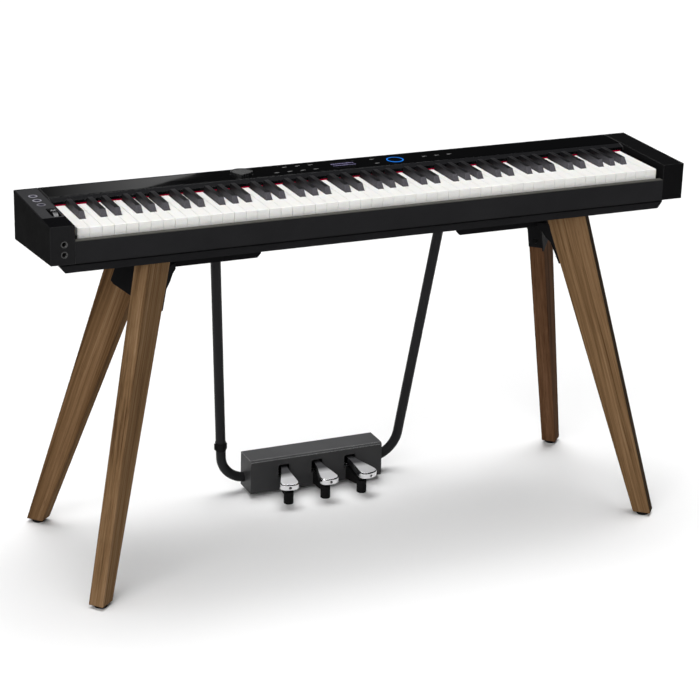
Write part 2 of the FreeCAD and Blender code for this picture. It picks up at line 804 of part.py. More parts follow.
# ---------------------------------------------------------------- pedal stand
def rounded_path(points, radii):
    """Wire through the points with an arc of the given radius at each corner."""
    edges = []
    start = points[0]
    for i in range(1, len(points) - 1):
        corner = points[i]
        back = (start - corner).normalize()
        ahead = (points[i + 1] - corner).normalize()
        half_angle = back.getAngle(ahead) / 2
        reach = radii[i - 1] / math.tan(half_angle)
        enter = corner + back * reach
        leave = corner + ahead * reach
        bisector = (back + ahead).normalize()
        centre = corner + bisector * (radii[i - 1] / math.sin(half_angle))
        middle = centre - bisector * radii[i - 1]
        edges.append(Part.makeLine(start, enter))
        edges.append(Part.Arc(enter, middle, leave).toShape())
        start = leave
    edges.append(Part.makeLine(start, points[-1]))
    return Part.Wire(edges)


def arm_points():
    return [
        Vector(ARM_X_TOP, ARM_FIX_Y, ARM_Z_TOP),
        Vector(ARM_X_TOP, ARM_Y_TOP, ARM_Z_TOP),
        Vector(ARM_X_LOW, ARM_Y_LOW, ARM_Z_LOW),
        Vector(126.0, ARM_Y_LOW, ARM_Z_LOW),
    ]


def right_pedal_arm():
    points = arm_points()
    path = rounded_path(points, (TOP_BEND_R, BEND_R))
    start = points[0]
    circle = Part.Wire([Part.Circle(start, Vector(0, 1, 0), TUBE_R).toShape()])
    tube = path.makePipeShell([circle], True, False)
    plate = box(ARM_X_TOP - 28, ARM_X_TOP + 16, ARM_FIX_Y, 108, LEG_TOP, LEG_TOP + PLATE)
    web = box(ARM_X_TOP - 5, ARM_X_TOP + 5, ARM_FIX_Y + 1, 108, ARM_Z_TOP + 8, LEG_TOP + 1)
    arm = fused([tube, plate, web])
    for x, y in screw_points():
        if x > 0 and y > 60:
            arm = arm.cut(stand_screw(x, y))
    return arm


def tube_clip():
    """Band with two small screw ears round the left arm, for the pedal lead."""
    share = (ARM_Z_TOP - CLIP_Z) / (ARM_Z_TOP - ARM_Z_LOW)
    x = -(ARM_X_TOP + share * (ARM_X_LOW - ARM_X_TOP))
    y = ARM_Y_TOP + share * (ARM_Y_LOW - ARM_Y_TOP)
    axis = Vector(ARM_X_TOP - ARM_X_LOW, ARM_Y_LOW - ARM_Y_TOP, ARM_Z_LOW - ARM_Z_TOP)
    axis.normalize()
    centre = Vector(x, y, CLIP_Z)
    band = Part.makeCylinder(TUBE_R + 1.2, 19.0, centre, axis)
    ear = box(x - TUBE_R - 3.0, x + TUBE_R + 3.0, y - 3, y + 3, CLIP_Z - 16, CLIP_Z - 3)
    return fused([band, ear]).cut(mirrored(right_pedal_arm()))


def box_profile(inset):
    return [
        (BOX_FRONT + inset, BOX_LOW),
        (BOX_REAR - inset, BOX_LOW),
        (BOX_REAR - inset, BOX_TOP - inset),
        (BOX_FRONT + BOX_BEVEL + inset, BOX_TOP - inset),
        (BOX_FRONT + inset, BOX_TOP - BOX_BEVEL - inset),
    ]


def pedal_slot(x, margin=0.0, front=2.0):
    """Opening with a rounded top that a pedal comes out of."""
    half = 13.0 + margin
    slot = box(x - half, x + half, BOX_FRONT - front, BOX_FRONT + 8, 40 - margin, 69 + margin)
    top = 68 + margin
    upper = [
        e for e in slot.Edges
        if e.Vertexes[0].Z > top and e.Vertexes[-1].Z > top and abs(e.CenterOfMass.x - x) > 12
    ]
    return slot.makeFillet(5.0 + margin, upper)


def slot_collar(x):
    """Thin raised rim round a pedal opening."""
    rim = pedal_slot(x, 2.0, 1.2)
    behind = box(x - 20, x + 20, BOX_FRONT + 1.0, BOX_FRONT + 10, 30, 80)
    return rim.cut(behind)


def pedal_box_cover():
    body = prism_yz(box_profile(0.0), -BOX_HALF, BOX_HALF)
    shell = fused([body] + [slot_collar(x) for x in PEDAL_ROOTS])
    room = prism_yz(box_profile(BOX_WALL), -BOX_HALF + BOX_WALL, BOX_HALF - BOX_WALL)
    floor_cut = box(-BOX_HALF + BOX_WALL, BOX_HALF - BOX_WALL, BOX_FRONT + BOX_WALL,
                    BOX_REAR - BOX_WALL, BOX_LOW - 1, BOX_LOW + 5)
    arm = right_pedal_arm()
    tools = [room, floor_cut, arm, mirrored(arm)]
    tools += [pedal_slot(x) for x in PEDAL_ROOTS]
    return cut_all(shell, tools)


def pedal_box_base():
    """Base plate, tube saddles and the welded pivot rod of the pedals."""
    edge = BOX_WALL + 0.1
    parts = [
        box(-BOX_HALF + edge, BOX_HALF - edge, BOX_FRONT + edge, BOX_REAR - edge,
            BOX_LOW, BOX_LOW + PLATE),
        rod_x(-116, 116, PEDAL_PIVOT_Y, PEDAL_PIVOT_Z, PEDAL_ROD_R),
    ]
    for x in (-116, -40, 37, 113):
        parts.append(box(x, x + 3, 218, BOX_REAR - edge, BOX_LOW + 1, 66))
    for side in (-1, 1):
        x = side * 138.0
        parts.append(box(x - 8, x + 8, 216, BOX_REAR - edge, BOX_LOW + 1, 34))
    arm = right_pedal_arm()
    return cut_all(fused(parts), [arm, mirrored(arm)])


def pedal_toe():
    """Visible part of a pedal: root at the origin, toe towards -Y, top at z = 0."""
    right = [
        (6, -80.5), (13, -79), (18.5, -75), (20.5, -69), (20.5, -64), (17.5, -50),
        (13.5, -33), (10.8, -18), (9.5, -8), (9, 12),
    ]
    outline = [(-x, y) for x, y in reversed(right)] + right
    slab = prism_xy(outline, -13.0, 0.0)
    rims = [e for e in slab.Edges if min(v.Z for v in e.Vertexes) > -0.01]
    slab = slab.makeChamfer(2.0, rims)
    hollow = prism_xy([(x * 0.8, -8 + (y + 8) * 0.9) for x, y in outline[1:19]], -14.0, -5.0)
    eye = rod_y(0, -84, -72, -7.4, 3.2)
    return cut_all(slab, [hollow, eye])


def pedal(root_x, fan):
    toe = pedal_toe()
    toe.rotate(Vector(0, 0, 0), Vector(1, 0, 0), PEDAL_SLOPE)
    toe.rotate(Vector(0, 0, 0), Vector(0, 0, 1), fan)
    toe.translate(Vector(root_x, BOX_FRONT, 63.5))
    lever = prism_yz(
        [
            (BOX_FRONT + 4, 52.0),
            (PEDAL_PIVOT_Y, 51.0),
            (PEDAL_PIVOT_Y, 64.0),
            (BOX_FRONT + 4, 64.0),
        ],
        root_x - 6.5, root_x + 6.5,
    )
    boss = rod_x(root_x - 9, root_x + 9, PEDAL_PIVOT_Y, PEDAL_PIVOT_Z, 8.0)
    bore = rod_x(root_x - 12, root_x + 12, PEDAL_PIVOT_Y, PEDAL_PIVOT_Z, PEDAL_ROD_R + 0.3)
    return fused([toe, lever, boss]).cut(bore)


def pedal_spring(x):
    height = 51.4 - (BOX_LOW + PLATE) - 1.6
    helix = Part.makeHelix(height / 6, height, 6.0)
    profile = Part.Wire([Part.Circle(Vector(6, 0, 0), Vector(0, 1, 0), 0.8).toShape()])
    coil = Part.Wire(helix.Edges).makePipeShell([profile], True, True)
    coil.translate(Vector(x, SPRING_Y, BOX_LOW + PLATE + 0.8))
    return coil


def support_arm(x_foot, x_root):
    angle = math.degrees(math.atan2(x_foot - x_root, BOX_FRONT - PEDAL_FOOT_Y))
    reach = math.hypot(x_foot - x_root, BOX_FRONT - PEDAL_FOOT_Y)
    profile = [
        (reach + 1, 14.0), (reach + 1, 43.0), (reach - 7, 42.0), (0, 29.0), (0, PEDAL_FOOT_H + 3),
        (PEDAL_FOOT_R + 4, PEDAL_FOOT_H),
    ]
    web = prism_yz(profile, -9.0, 9.0)
    knee = rod_z(0, 0, PEDAL_FOOT_H, 28.0, PEDAL_FOOT_R)
    arm = fused([web, knee])
    arm.rotate(Vector(0, 0, 0), Vector(0, 0, 1), angle)
    arm.translate(Vector(x_foot, PEDAL_FOOT_Y, 0))
    wall = box(-BOX_HALF, BOX_HALF, BOX_FRONT, BOX_FRONT + 20, 0, 90)
    foot = rod_z(x_foot, PEDAL_FOOT_Y, 0, PEDAL_FOOT_H, PEDAL_FOOT_R)
    return cut_all(arm, [wall, foot])


def support_arms():
    arms = []
    for x_foot, x_root in zip(PEDAL_FEET_X, PEDAL_ROOTS):
        arms.append(support_arm(x_foot, x_root).cut(slot_collar(x_root)))
    return Part.makeCompound(arms)


def pedal_feet():
    feet = []
    for x in PEDAL_FEET_X:
        foot = rod_z(x, PEDAL_FOOT_Y, 0, PEDAL_FOOT_H, PEDAL_FOOT_R)
        rims = [e for e in foot.Edges if e.Length > 60 and e.Vertexes[0].Z < 1]
        feet.append(foot.makeFillet(1.2, rims))
    return Part.makeCompound(feet)


# ---------------------------------------------------------------- export
def all_nodes():
    bolts = right_bolts()
    nodes = {
        "left_end_block": left_block(),
        "right_end_block": end_block(),
        "left_control_plate": control_plate(),
        "button_rings": button_rings(),
        "pitch_bend_wheel": pitch_wheel(),
        "headphone_jacks": headphone_jacks(),
        "front_rail": front_rail(),
        "bottom_case": bottom_case(),
        "rear_cover": rear_cover(),
        "rear_sockets": rear_sockets(),
        "top_panel": top_panel(),
        "display_window": display_plate(0.0, 0.05, 1.4),
        "led_ring": ring_tube(RING_R, RING_R - 2.5),
        "felt_strip": felt_strip(),
        "volume_knob": volume_knob(),
        "key_rod": key_rod(),
        "key_frame": key_frame(),
        "main_board": main_board(),
        "speakers": speakers(),
        "stand_screws": stand_screws(),
        "leg_front_right": right_leg(FRONT_LEG),
        "leg_front_left": mirrored(right_leg(FRONT_LEG)),
        "leg_rear_right": right_leg(REAR_LEG),
        "leg_rear_left": mirrored(right_leg(REAR_LEG)),
        "glide_front_right": glide(FRONT_LEG),
        "glide_front_left": mirrored(glide(FRONT_LEG)),
        "glide_rear_right": glide(REAR_LEG),
        "glide_rear_left": mirrored(glide(REAR_LEG)),
        "leg_bracket_right": right_bracket(),
        "leg_bracket_left": mirrored(right_bracket()),
        "leg_bolts": Part.makeCompound(bolts + [mirrored(b) for b in bolts]),
        "pedal_arm_right": right_pedal_arm(),
        "pedal_arm_left": mirrored(right_pedal_arm()),
        "tube_clip": tube_clip(),
        "pedal_box_cover": pedal_box_cover(),
        "pedal_box_base": pedal_box_base(),
        "support_arms": support_arms(),
        "pedal_feet": pedal_feet(),
    }
    for number, y in enumerate(BUTTON_YS, start=1):
        nodes["control_button_%d" % number] = control_button(y)
    for name, keys in key_groups().items():
        nodes["keys_" + name] = Part.makeCompound(keys)
    for name, x, fan in zip(("left", "middle", "right"), PEDAL_ROOTS, PEDAL_FANS):
        nodes["pedal_" + name] = pedal(x, fan)
        nodes["pedal_spring_" + name] = pedal_spring(x)
    return nodes


def main():
    os.makedirs("parts", exist_ok=True)
    for name, shape in all_nodes().items():
        shape = shape.copy()
        shape.translate(Vector(0, -FOOTPRINT_MID_Y, 0))
        shape.exportStep("parts/%s.step" % name)
        size = shape.BoundBox
        print("%-22s solids %2d  x %8.1f %8.1f  y %8.1f %8.1f  z %8.1f %8.1f  valid %s" % (
            name, len(shape.Solids), size.XMin, size.XMax, size.YMin, size.YMax,
            size.ZMin, size.ZMax, shape.isValid()))


main()
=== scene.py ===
import math
import random

import bmesh
import bpy
from mathutils import Matrix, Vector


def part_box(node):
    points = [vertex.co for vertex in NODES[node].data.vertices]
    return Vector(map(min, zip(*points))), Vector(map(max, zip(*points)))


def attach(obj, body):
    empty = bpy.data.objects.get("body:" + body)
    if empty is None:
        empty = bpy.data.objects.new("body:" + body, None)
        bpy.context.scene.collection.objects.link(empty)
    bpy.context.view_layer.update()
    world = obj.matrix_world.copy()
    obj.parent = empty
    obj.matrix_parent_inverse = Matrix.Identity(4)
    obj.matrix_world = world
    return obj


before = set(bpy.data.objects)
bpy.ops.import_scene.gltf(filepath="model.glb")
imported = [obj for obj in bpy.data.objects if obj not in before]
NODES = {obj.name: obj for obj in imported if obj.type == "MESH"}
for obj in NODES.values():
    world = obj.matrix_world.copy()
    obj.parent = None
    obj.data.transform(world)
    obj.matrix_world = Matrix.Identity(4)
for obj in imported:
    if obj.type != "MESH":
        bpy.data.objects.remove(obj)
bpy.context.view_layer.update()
ROOT = "piano_and_stand"

# Lengths are in metres in the row frame, angles in degrees, colours linear.

# ------------------------------------------------------------------ camera
CAM_PLACE = (-1.71486, -3.81166, 1.94326)
CAM_TILT = 69.4286
CAM_ROLL = 1.5208
CAM_TURN = -24.2487
CAM_LENS_MM = 112.12


def make_camera():
    data = bpy.data.cameras.new("camera")
    data.lens = CAM_LENS_MM
    data.sensor_width = 36.0
    data.clip_end = 100.0
    cam = bpy.data.objects.new("camera", data)
    bpy.context.scene.collection.objects.link(cam)
    turn = Matrix.Rotation(math.radians(CAM_TURN), 4, "Z")
    tilt = Matrix.Rotation(math.radians(CAM_TILT), 4, "X")
    roll = Matrix.Rotation(math.radians(CAM_ROLL), 4, "Z")
    cam.matrix_world = Matrix.Translation(CAM_PLACE) @ turn @ tilt @ roll
    bpy.context.scene.camera = cam


# ------------------------------------------------------------------ node helper
class Graph:
    """A small writer of shader nodes for one material."""

    def __init__(self, name):
        self.mat = bpy.data.materials.new(name)
        self.mat.use_nodes = True
        self.tree = self.mat.node_tree
        self.tree.nodes.clear()
        out = self.tree.nodes.new("ShaderNodeOutputMaterial")
        self.bsdf = self.tree.nodes.new("ShaderNodeBsdfPrincipled")
        self.link(self.bsdf.outputs[0], out.inputs[0])
        self.coords = self.tree.nodes.new("ShaderNodeTexCoord").outputs["Object"]

    def link(self, a, b):
        self.tree.links.new(a, b)

    def put(self, socket, value):
        """Links an output, or sets a constant on the socket itself."""
        if hasattr(value, "is_output"):
            self.link(value, socket)
        elif hasattr(value, "__len__") and len(value) == 3 and len(socket.default_value) == 4:
            socket.default_value = (*value, 1.0)
        else:
            socket.default_value = value

    def shader(self, **values):
        for name, value in values.items():
            self.put(self.bsdf.inputs[name.replace("_", " ")], value)

    def mapping(self, scale=(1, 1, 1), place=(0, 0, 0), turn=(0, 0, 0), kind="POINT", source=None):
        node = self.tree.nodes.new("ShaderNodeMapping")
        node.vector_type = kind
        self.put(node.inputs["Scale"], scale)
        self.put(node.inputs["Location"], place)
        self.put(node.inputs["Rotation"], turn)
        self.link(source or self.coords, node.inputs["Vector"])
        return node.outputs[0]

    def noise(self, scale, detail=3.0, rough=0.5, source=None, output="Fac"):
        node = self.tree.nodes.new("ShaderNodeTexNoise")
        self.put(node.inputs["Scale"], scale)
        self.put(node.inputs["Detail"], detail)
        self.put(node.inputs["Roughness"], rough)
        self.link(source or self.coords, node.inputs["Vector"])
        return node.outputs[output]

    def cells(self, scale):
        node = self.tree.nodes.new("ShaderNodeTexVoronoi")
        self.put(node.inputs["Scale"], scale)
        self.link(self.coords, node.inputs["Vector"])
        return node.outputs["Distance"]

    def math(self, kind, a, b=0.0):
        node = self.tree.nodes.new("ShaderNodeMath")
        node.operation = kind
        self.put(node.inputs[0], a)
        self.put(node.inputs[1], b)
        return node.outputs[0]

    def spread(self, value, low, high, out_low=0.0, out_high=1.0):
        """The value carried from low..high to out_low..out_high, held at both ends."""
        node = self.tree.nodes.new("ShaderNodeMapRange")
        node.clamp = True
        self.put(node.inputs["Value"], value)
        self.put(node.inputs["From Min"], low)
        self.put(node.inputs["From Max"], high)
        self.put(node.inputs["To Min"], out_low)
        self.put(node.inputs["To Max"], out_high)
        return node.outputs[0]

    def ramp(self, value, stops):
        node = self.tree.nodes.new("ShaderNodeValToRGB")
        ramp = node.color_ramp
        while len(ramp.elements) < len(stops):
            ramp.elements.new(0.5)
        for element, (place, color) in zip(ramp.elements, stops):
            element.position = place
            element.color = (*color, 1.0)
        self.link(value, node.inputs[0])
        return node.outputs[0]

    def mix(self, share, a, b, kind="MIX"):
        node = self.tree.nodes.new("ShaderNodeMix")
        node.data_type = "RGBA"
        node.blend_type = kind
        self.put(node.inputs[0], share)
        self.put(node.inputs[6], a)
        self.put(node.inputs[7], b)
        return node.outputs[2]

    def split(self, vector):
        node = self.tree.nodes.new("ShaderNodeSeparateXYZ")
        self.link(vector, node.inputs[0])
        return node.outputs

    def normal(self):
        return self.tree.nodes.new("ShaderNodeTexCoord").outputs["Normal"]

    def vector_math(self, kind, *values):
        node = self.tree.nodes.new("ShaderNodeVectorMath")
        node.operation = kind
        for socket, value in zip(node.inputs, values):
            self.put(socket, value)
        return node

    def bump(self, height, strength, distance, normal=None):
        node = self.tree.nodes.new("ShaderNodeBump")
        self.put(node.inputs["Strength"], strength)
        self.put(node.inputs["Distance"], distance)
        self.link(height, node.inputs["Height"])
        if normal is not None:
            self.link(normal, node.inputs["Normal"])
        return node.outputs[0]

    def bevel(self, radius):
        node = self.tree.nodes.new("ShaderNodeBevel")
        node.samples = 4
        self.put(node.inputs["Radius"], radius)
        return node.outputs[0]


# ------------------------------------------------------------------ shared looks
# grey of the highlights painted along edges
CAUGHT_LIGHT = (0.5, 0.5, 0.5)
SOFT_EDGE = 0.0006          # usual rounding of moulded edges
GRAIN_RELIEF = 0.0002
FINE_RELIEF = 0.0001
CASE_SPEC = 0.006           # kept low: the pale floor would grey the black case at grazing angles
BLOCK_SPEC = 0.002
WOOD_SPEC = 0.002


def scaled(g, color, factor):
    """The colour times a varying factor."""
    node = g.vector_math("SCALE", color)
    g.link(factor, node.inputs["Scale"])
    return node.outputs[0]


def edge_highlight_mask(g, round_by):
    """Mask for painted highlights: 1 along rounded-over edges and 0 on flats, broken up a little."""
    true_normal = g.tree.nodes.new("ShaderNodeNewGeometry").outputs["Normal"]
    node = g.vector_math("DOT_PRODUCT", g.bevel(round_by), true_normal)
    edge = g.spread(node.outputs["Value"], 0.999, 0.93)
    return g.math("MULTIPLY", edge, g.spread(g.noise(160.0, 3.0), 0.3, 0.6, 0.55, 1.0))


def lit_edges(g, color, wear_and_highlight, share):
    """The colour with a share of painted highlight (caught light) where the mask is 1."""
    return g.mix(g.math("MULTIPLY", wear_and_highlight, share), color, CAUGHT_LIGHT)


def cloudy(g, vary):
    """A factor that wanders slowly around 1."""
    return g.spread(g.noise(9.0, 4.0), 0.3, 0.7, 1.0 - vary, 1.0 + vary)


def smeared(g, low, high):
    """Roughness that differs from place to place, as on a handled surface."""
    return g.spread(g.noise(35.0, 5.0, 0.6), 0.25, 0.75, low, high)


def speckled(g, color, noise, darker):
    """The colour mixed with a darker form of itself."""
    return g.mix(g.spread(noise, 0.3, 0.7), color, tuple(c * darker for c in color))


def near_grey(value):
    """A grey with a slight blue cast."""
    return (value, value, value * 1.05)


# ------------------------------------------------------------------ finishes
def moulded(name, color, rough, grain=1800.0, depth=0.12, spec=0.5, edge_highlight=0.0):
    """Moulded or coated surface with a fine grain, faint unevenness and soft edges, and when asked a
    painted highlight along its edges.
    """
    g = Graph(name)
    shade = scaled(g, color, cloudy(g, 0.12))
    # painted highlight: a share above zero lightens the edges as caught light
    if edge_highlight:
        shade = lit_edges(g, shade, edge_highlight_mask(g, SOFT_EDGE), edge_highlight)
    g.shader(
        Base_Color=shade,
        Roughness=smeared(g, rough - 0.05, rough + 0.06),
        Specular_IOR_Level=spec,
        Normal=g.bump(g.noise(grain, 2.0), depth, GRAIN_RELIEF, g.bevel(SOFT_EDGE)),
    )
    return g.mat


def block_finish(name, gloss_y, shade, painted_side_shading):
    """Satin end block whose sides get a painted shading level of their own, with painted highlights
    along its edges; its top is smooth and darker ahead of gloss_y.
    """
    g = Graph(name)
    edge_radius = 0.0009
    _, y, _ = g.split(g.coords)
    nx, _, nz = g.split(g.normal())
    ahead = g.math("LESS_THAN", y, gloss_y)
    smooth = g.math("MULTIPLY", ahead, g.math("GREATER_THAN", nz, 0.8))
    # painted shading: faces that point sideways take their own level, set for how light falls on them
    flank = g.spread(g.math("ABSOLUTE", nx), 0.7, 0.9)
    color = g.mix(smooth, near_grey(shade), (0.004, 0.004, 0.0045))
    color = g.mix(flank, color, near_grey(painted_side_shading))
    # painted highlight along the edges
    color = lit_edges(g, color, edge_highlight_mask(g, edge_radius), 0.12)
    rough = smeared(g, 0.40, 0.50)
    grain = g.math("MULTIPLY", g.noise(1600.0, 2.0), g.spread(smooth, 0.0, 1.0, 1.0, 0.0))
    g.shader(
        Base_Color=scaled(g, color, cloudy(g, 0.1)),
        Roughness=g.math("MULTIPLY", rough, g.spread(smooth, 0.0, 1.0, 1.0, 0.3)),
        Specular_IOR_Level=BLOCK_SPEC,
        Normal=g.bump(grain, 0.2, GRAIN_RELIEF, g.bevel(edge_radius)),
    )
    return g.mat


def box_finish(name):
    """Grained dark grey paint with a painted reflection that makes its top faces paler, and painted
    caught light along the upper edges.
    """
    g = Graph(name)
    _, _, nz = g.split(g.normal())
    _, _, z = g.split(g.coords)
    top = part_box("pedal_box_cover")[1][2]
    # painted highlight along the upper edges
    rim = g.math("MULTIPLY", edge_highlight_mask(g, 0.0022), g.spread(z, top - 0.012, top - 0.006))
    # painted reflection: faces that point up are paler
    color = g.mix(g.spread(nz, 0.6, 0.9), (0.036, 0.036, 0.037), (0.072, 0.072, 0.074))
    g.shader(
        Base_Color=scaled(g, lit_edges(g, color, rim, 0.5), cloudy(g, 0.1)),
        Roughness=smeared(g, 0.37, 0.48),
        Specular_IOR_Level=0.12,
        Normal=g.bump(g.noise(700.0, 2.0), 0.25, GRAIN_RELIEF, g.bevel(0.0014)),
    )
    return g.mat


def rail_finish(name):
    """Satin front rail with a painted highlight that makes its upper side paler."""
    g = Graph(name)
    _, _, nz = g.split(g.normal())
    # painted highlight: faces that point up are paler
    color = g.mix(g.spread(nz, 0.5, 0.9), (0.016, 0.016, 0.017), (0.075, 0.074, 0.066))
    g.shader(
        Base_Color=scaled(g, color, cloudy(g, 0.1)),
        Roughness=smeared(g, 0.37, 0.48),
        Specular_IOR_Level=CASE_SPEC,
        Normal=g.bump(g.noise(1800.0, 2.0), 0.12, GRAIN_RELIEF, g.bevel(SOFT_EDGE)),
    )
    return g.mat


SEAM_X = (0.6190, 0.6197)   # from here outward the ends of the top panel are a dull seam


def gloss_black(name, satin_y=None):
    """Polished black acrylic; satin_y adds dull seams at both ends and a satin lip ahead of it."""
    g = Graph(name)
    speck = g.spread(g.noise(2600.0, 1.0), 0.72, 0.80)
    color = g.mix(speck, (0.0016, 0.0016, 0.0018), (0.008, 0.008, 0.009))
    wipe = g.noise(14.0, 5.0, 0.6, g.mapping((1.0, 3.0, 1.0)))
    rough = g.spread(wipe, 0.3, 0.75, 0.01, 0.035)
    if satin_y is not None:
        x, y, _ = g.split(g.coords)
        _, _, nz = g.split(g.normal())
        seam = g.spread(g.math("ABSOLUTE", x), *SEAM_X)
        lip = g.math("MULTIPLY", g.math("LESS_THAN", y, satin_y), g.math("GREATER_THAN", nz, 0.75))
        color = g.mix(seam, color, (0.0002, 0.0002, 0.0002))
        color = g.mix(lip, color, (0.010, 0.010, 0.011))
        rough = g.math("MAXIMUM", rough, g.math("MULTIPLY", seam, 0.9))
        rough = g.math("MAXIMUM", rough, g.math("MULTIPLY", lip, 0.14))
    g.shader(
        Base_Color=color,
        Roughness=rough,
        Normal=g.bump(g.noise(6.0, 1.0), 0.02, 0.002, g.bevel(0.0004)),
    )
    return g.mat


def key_white(name):
    """Ivory-look key with faint fine grain along its length."""
    g = Graph(name)
    grain = g.noise(1.0, 3.0, 0.6, g.mapping((1500.0, 60.0, 1500.0)))
    tint = g.ramp(g.noise(18.0, 3.0), [(0.3, (0.845, 0.84, 0.81)), (0.7, (0.885, 0.88, 0.855))])
    g.shader(
        Base_Color=scaled(g, tint, g.spread(grain, 0.3, 0.7, 0.975, 1.0)),
        Roughness=g.spread(g.noise(60.0, 4.0), 0.3, 0.7, 0.28, 0.38),
        Subsurface_Weight=0.12,
        Subsurface_Radius=(0.003, 0.002, 0.001),
        Subsurface_Scale=0.4,
        Normal=g.bump(grain, 0.05, FINE_RELIEF, g.bevel(0.0006)),
    )
    return g.mat


def key_black(name):
    """Matt, finely pitted ebony-look key with painted light (paler sides, a paler rear of the top,
    highlights along the edges) and painted shade darkening the sides towards the panel.
    """
    g = Graph(name)
    relief = g.math("ADD", g.cells(1100.0), g.noise(2400.0, 2.0))
    pits = g.spread(relief, 0.55, 1.15)
    _, _, nz = g.split(g.normal())
    _, y, z = g.split(g.coords)
    # painted light: the sides are paler than the top
    flank = g.spread(nz, 0.55, 0.92, 1.0, 0.0)
    # painted shade: the sides darken towards the rear and upwards
    rear = g.spread(g.math("ADD", y, g.math("MULTIPLY", z, 2.0)), 1.425, 1.475)
    top = g.mix(pits, (0.005, 0.005, 0.006), (0.012, 0.012, 0.013))
    # painted highlight on the rear of the top
    top = g.mix(g.spread(y, -0.045, 0.0), top, (0.020, 0.020, 0.021))
    side = g.mix(pits, (0.030, 0.029, 0.033), (0.100, 0.096, 0.108))
    side = g.mix(rear, side, (0.006, 0.006, 0.007))
    g.shader(
        # painted highlight along the edges
        Base_Color=lit_edges(g, g.mix(flank, top, side), edge_highlight_mask(g, 0.0008), 0.14),
        Roughness=g.spread(g.noise(50.0, 3.0), 0.3, 0.7, 0.40, 0.50),
        Specular_IOR_Level=0.08,
        Normal=g.bump(relief, 0.4, 0.0003, g.bevel(0.0007)),
    )
    return g.mat


def felt(name):
    """Crimson felt of short fuzzy fibres in faint clumps."""
    g = Graph(name)
    fuzz = g.noise(1400.0, 4.0, 0.7)
    clump = g.spread(g.noise(220.0, 3.0), 0.3, 0.7, 0.0, 0.35)
    color = g.ramp(fuzz, [(0.25, (0.24, 0.0, 0.016)), (0.75, (0.60, 0.001, 0.045))])
    g.shader(
        Base_Color=g.mix(clump, color, (0.34, 0.0, 0.022)),
        Roughness=g.spread(fuzz, 0.2, 0.8, 0.85, 1.0),
        Specular_IOR_Level=0.02,
        Normal=g.bump(fuzz, 0.6, 0.0006),
    )
    return g.mat


WALNUT = [
    (0.37, (0.074, 0.040, 0.0190)),
    (0.46, (0.150, 0.087, 0.042)),
    (0.55, (0.213, 0.129, 0.067)),
    (0.65, (0.305, 0.196, 0.110)),
]
PORE = (0.055, 0.030, 0.015)
SHADED_EDGE = (0.010, 0.006, 0.004)


def walnut(name, foot, plan, lean, seed, tone_and_shade_by, dark_edge):
    """Oiled walnut whose grain runs along one leg, from its foot up; seed shifts the pattern; the leg
    can be darkened as a whole, partly as painted shade, and given a painted shaded edge.
    """
    g = Graph(name)
    along = (0.0, math.radians(lean), math.radians(plan))
    local = g.mapping(place=foot, turn=along, kind="TEXTURE")
    moved = g.mapping(place=(seed * 0.37, seed * 0.21, seed * 1.3), source=local)
    sway = g.noise(1.0, 2.0, source=g.mapping((4.0, 4.0, 1.4), source=moved), output="Color")
    bent = g.vector_math("MULTIPLY_ADD", sway, (0.018, 0.018, 0.0), moved).outputs[0]

    def streaks(across, lengthwise, detail, rough):
        return g.noise(1.0, detail, rough, g.mapping((across, across, lengthwise), source=bent))

    band = streaks(46.0, 0.9, 3.0, 0.55)
    streak = streaks(190.0, 2.2, 4.0, 0.6)
    fibre = streaks(800.0, 9.0, 3.0, 0.6)
    pores = g.spread(streaks(1100.0, 38.0, 2.0, 0.5), 0.60, 0.72)
    tone = g.math("ADD", g.math("MULTIPLY", band, 0.38), g.math("MULTIPLY", streak, 0.42))
    tone = g.math("ADD", tone, g.math("MULTIPLY", fibre, 0.20))
    color = g.mix(g.math("MULTIPLY", pores, 0.45), g.ramp(tone, WALNUT), PORE)
    # the board's own tone, with painted shade on the rear legs
    color = g.mix(1.0, color, tone_and_shade_by, "MULTIPLY")
    # painted shade on the edge that faces away from the light
    if dark_edge:
        nx, _, _ = g.split(g.normal())
        color = g.mix(g.math("MULTIPLY", g.spread(nx, 0.6, 0.7), 0.85), color, SHADED_EDGE)
    height = g.math("SUBTRACT", g.math("MULTIPLY", fibre, 0.4), pores)
    g.shader(
        Base_Color=color,
        Roughness=g.spread(fibre, 0.3, 0.7, 0.46, 0.60),
        Specular_IOR_Level=WOOD_SPEC,
        Normal=g.bump(height, 0.2, 0.0003, g.bevel(0.0012)),
    )
    return g.mat


def metal(name, color, rough):
    """Plain metal with fine wear."""
    g = Graph(name)
    wear_and_highlight = g.noise(1.0, 3.0, 0.6, g.mapping((900.0, 900.0, 900.0)))
    g.shader(
        Base_Color=speckled(g, color, wear_and_highlight, 0.86),
        Roughness=g.spread(wear_and_highlight, 0.3, 0.7, rough, rough + 0.12),
        Metallic=1.0,
        Normal=g.bump(wear_and_highlight, 0.05, FINE_RELIEF, g.bevel(0.0004)),
    )
    return g.mat


PEDAL_FADE_Y = (0.106, 0.126)   # over this stretch a painted reflection of the dark box darkens the pedals towards it


def pedal_chrome(name):
    """Chrome with a satin top and polished rims, and a painted dark reflection of the pedal box near
    it.
    """
    g = Graph(name)
    _, _, nz = g.split(g.normal())
    _, y, _ = g.split(g.coords)
    top = g.spread(nz, 0.975, 0.99)
    brush = g.noise(1.0, 2.0, 0.5, g.mapping((2600.0, 900.0, 900.0)))
    satin = g.spread(brush, 0.3, 0.7, 0.34, 0.46)
    g.shader(
        # painted reflection of the dark box near the pedal roots
        Base_Color=g.mix(g.spread(y, *PEDAL_FADE_Y), (0.84, 0.84, 0.85), (0.10, 0.10, 0.105)),
        Roughness=g.math("ADD", g.math("MULTIPLY", top, satin), 0.06),
        Metallic=1.0,
        Normal=g.bump(g.math("MULTIPLY", brush, top), 0.05, FINE_RELIEF, g.bevel(0.0008)),
    )
    return g.mat


